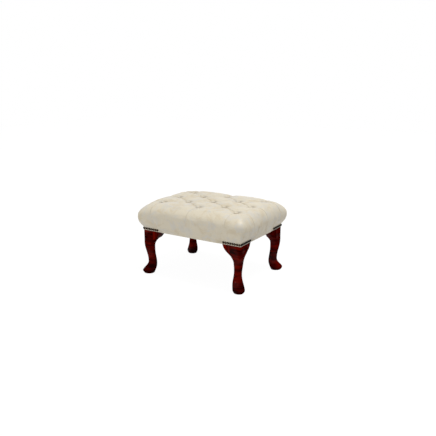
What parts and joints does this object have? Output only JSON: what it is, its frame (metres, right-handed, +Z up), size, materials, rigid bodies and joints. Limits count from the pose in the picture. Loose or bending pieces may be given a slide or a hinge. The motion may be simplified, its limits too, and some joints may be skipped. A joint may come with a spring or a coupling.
{
  "type": "footstool",
  "caption": "Rectangular footstool with a deep-buttoned cream leather pad, dark brass nails at the corners and cabriole legs in red mahogany.",
  "frame": {"origin": "on the floor under the middle of the stool", "axes": "+Z up, +X along the stool's length towards its right end, front towards -Y"},
  "size_m": [0.5634, 0.4364, 0.3405],
  "materials": {
    "leather": "cream hide, softly mottled, satin",
    "mahogany": "deep red mahogany stain, near black at the edges, polished",
    "antique_brass": "antiqued dark brass, rubbed bright on the domes",
    "beech": "planed, unfinished",
    "plywood": "sanded birch plywood, unfinished",
    "foam": "open-cell upholstery foam, matt",
    "wadding": "soft polyester wadding, matt",
    "twine": "waxed button twine",
    "dust_cloth": "black spunbonded cloth, matt",
    "zinc_steel": "bright zinc plate"
  },
  "bodies": {
    "root": {"button_twine": "twine", "buttons": "leather", "corner_block_back_left": "beech", "corner_block_back_right": "beech", "corner_block_front_left": "beech", "corner_block_front_right": "beech", "corner_block_screws": "zinc_steel", "dust_cover": "dust_cloth", "dust_cover_staples": "zinc_steel", "foam_pad": "foam", "hem_staples": "zinc_steel", "leather_cover": "leather", "leg_back_left": "mahogany", "leg_back_right": "mahogany", "leg_front_left": "mahogany", "leg_front_right": "mahogany", "leg_nuts": "zinc_steel", "leg_studs": "zinc_steel", "leg_washers": "zinc_steel", "long_bracket_back_left": "mahogany", "long_bracket_back_right": "mahogany", "long_bracket_front_left": "mahogany", "long_bracket_front_right": "mahogany", "nails_back_left": "antique_brass", "nails_back_right": "antique_brass", "nails_front_left": "antique_brass", "nails_front_right": "antique_brass", "rail_back": "beech", "rail_dowels": "beech", "rail_front": "beech", "rail_left": "beech", "rail_right": "beech", "seat_board": "plywood", "seat_board_screws": "zinc_steel", "short_bracket_back_left": "mahogany", "short_bracket_back_right": "mahogany", "short_bracket_front_left": "mahogany", "short_bracket_front_right": "mahogany", "twine_toggles": "beech", "wadding": "wadding"}
  },
  "joints": []
}
